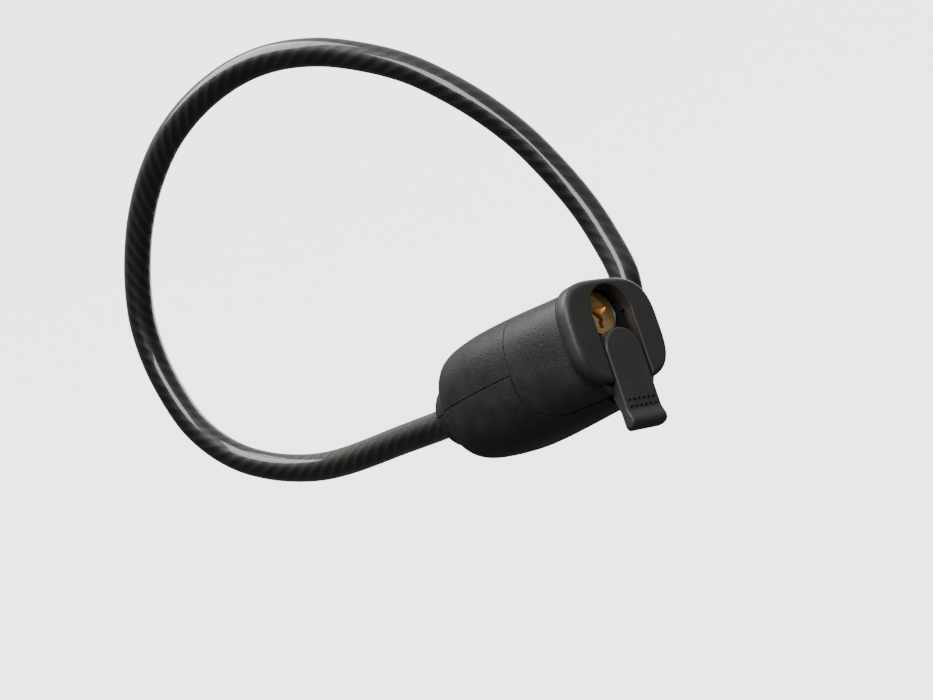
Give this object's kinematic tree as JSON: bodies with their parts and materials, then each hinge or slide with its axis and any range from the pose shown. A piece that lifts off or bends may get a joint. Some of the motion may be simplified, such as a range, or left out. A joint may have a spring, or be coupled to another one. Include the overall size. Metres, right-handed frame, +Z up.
{
  "type": "cable lock",
  "caption": "Key lock head with a fixed armoured cable that loops round and plugs a locking pin into the head's side, and a sliding dust cover over the keyway.",
  "frame": {"origin": "middle of the locking pin's socket mouth on the head's side", "axes": "+X from the cable collar to the key face, +Z up the key face from the dust cover to the key cylinder, +Y out of the socket"},
  "size_m": [0.2036, 0.0908, 0.1789],
  "materials": {
    "black_plastic": "fine moulded grain",
    "face_plastic": "fine satin",
    "rubber": "smooth, dull",
    "zinc": "die-cast zinc alloy",
    "steel": "turned, plated",
    "brass": "machined",
    "smoke_pvc": "clear smoke-brown jacket over twisted steel strands"
  },
  "bodies": {
    "root": {"front_cover": "black_plastic", "upper_shell": "black_plastic", "lower_shell": "black_plastic", "chassis": "zinc", "socket_bush": "steel", "lock_barrel": "zinc", "barrel_pin": "steel", "latch_spring": "steel", "cable_ferrule": "steel", "ferrule_pin": "steel", "strain_bush": "rubber", "shell_screw_1": "steel", "shell_screw_2": "steel", "detent_ball": "steel", "detent_spring": "steel", "cable": "smoke_pvc"},
    "key_cylinder": {"key_plug": "brass", "wafer_1": "brass", "wafer_2": "brass", "wafer_3": "brass", "wafer_4": "brass", "wafer_5": "brass", "wafer_6": "brass", "retaining_clip": "steel", "cam": "steel", "cam_screw": "steel"},
    "latch": {"latch": "steel"},
    "dust_cover": {"dust_cover": "face_plastic"},
    "locking_end": {"crimp_sleeve": "steel", "elbow_body": "black_plastic", "locking_pin": "steel", "pin_ring": "rubber"}
  },
  "joints": [
    {"name": "key_turn", "type": "hinge", "parent": "root", "child": "key_cylinder", "pos_m": [0.02, -0.019, 0.0124], "axis": [1, 0, 0], "range_deg": [0, 90]},
    {"name": "latch_slide", "type": "slide", "parent": "root", "child": "latch", "axis": [0, 0, 1], "range_m": [0, 0.0041], "deforming": ["latch_spring"]},
    {"name": "cover_slide", "type": "slide", "parent": "root", "child": "dust_cover", "axis": [0, 0, 1], "range_m": [0, 0.013]},
    {"name": "locking_pull", "type": "slide", "parent": "root", "child": "locking_end", "axis": [0, 1, 0], "range_m": [0, 0.018]}
  ],
  "couplings": [
    {"joint": "latch_slide", "follows": "key_turn", "m_per_rad": 0.002546}
  ]
}
